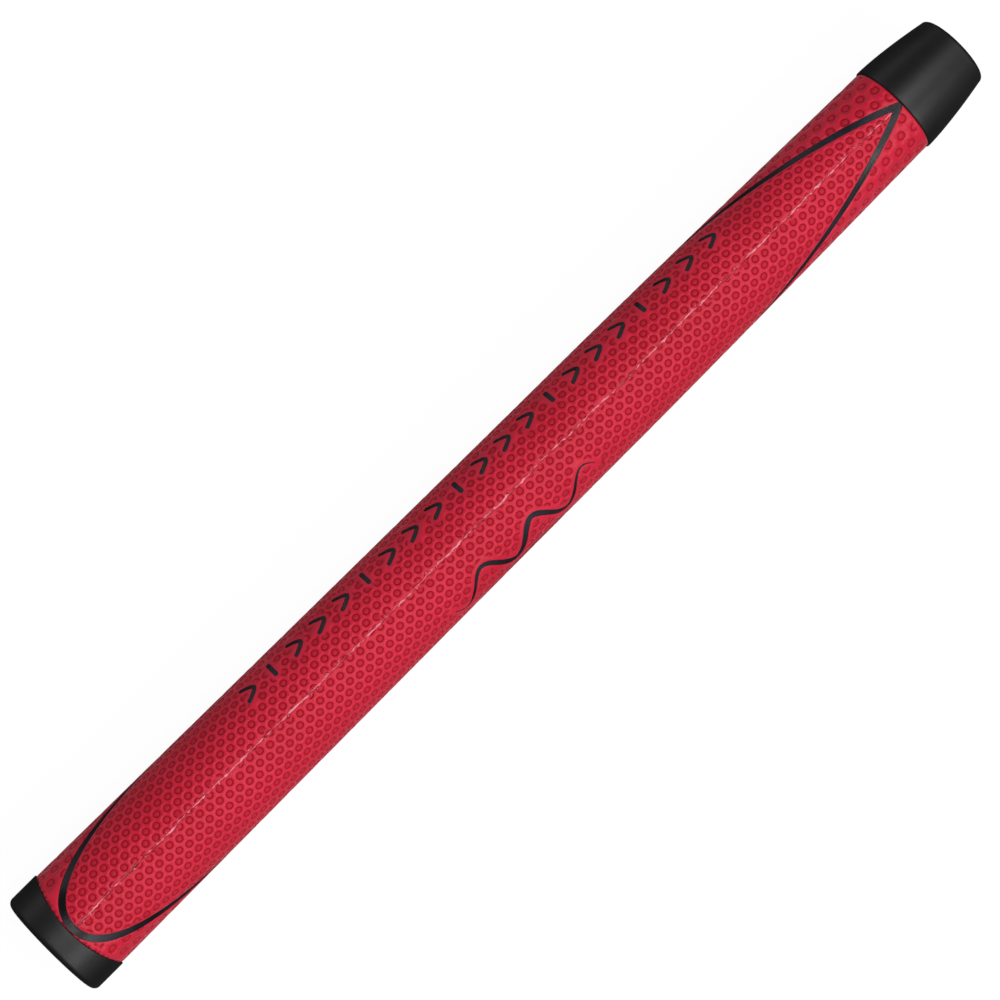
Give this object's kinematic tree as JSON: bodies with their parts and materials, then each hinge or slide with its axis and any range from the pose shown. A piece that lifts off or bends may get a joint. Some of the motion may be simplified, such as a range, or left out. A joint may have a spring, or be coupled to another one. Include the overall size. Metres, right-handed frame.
{
  "type": "golf grip",
  "caption": "Round tapered golf grip: a foam core wrapped in a dimpled felt-backed skin with a lengthwise seam, a rubber butt cap and a tapered mouth collar.",
  "frame": {"origin": "centre of the shaft bore at the mouth edge of the collar", "axes": "+X along the bore, out of the mouth, so the grip lies along -X; +Z through the wrap's seam, which lies on top; +Y is the side with the row of marks"},
  "size_m": [0.267, 0.0256, 0.0256],
  "materials": {
    "core_foam": "fine closed-cell foam, matt",
    "cap_rubber": "moulded black rubber, satin",
    "cement": "dried contact cement",
    "felt": "needled felt",
    "red_skin": "red coagulated polyurethane with ring dimples, satin and slightly tacky",
    "seam_glue": "thin glossy glue line",
    "black_paint": "flexible black paint, satin"
  },
  "bodies": {
    "root": {"core_tube": "core_foam", "butt_cap": "cap_rubber", "mouth_collar": "cap_rubber", "cement_film": "cement", "felt_backing": "felt", "pu_skin": "red_skin", "seam_bead": "seam_glue", "butt_line": "black_paint", "mouth_line": "black_paint", "side_marks": "black_paint", "side_emblem": "black_paint"}
  },
  "joints": []
}
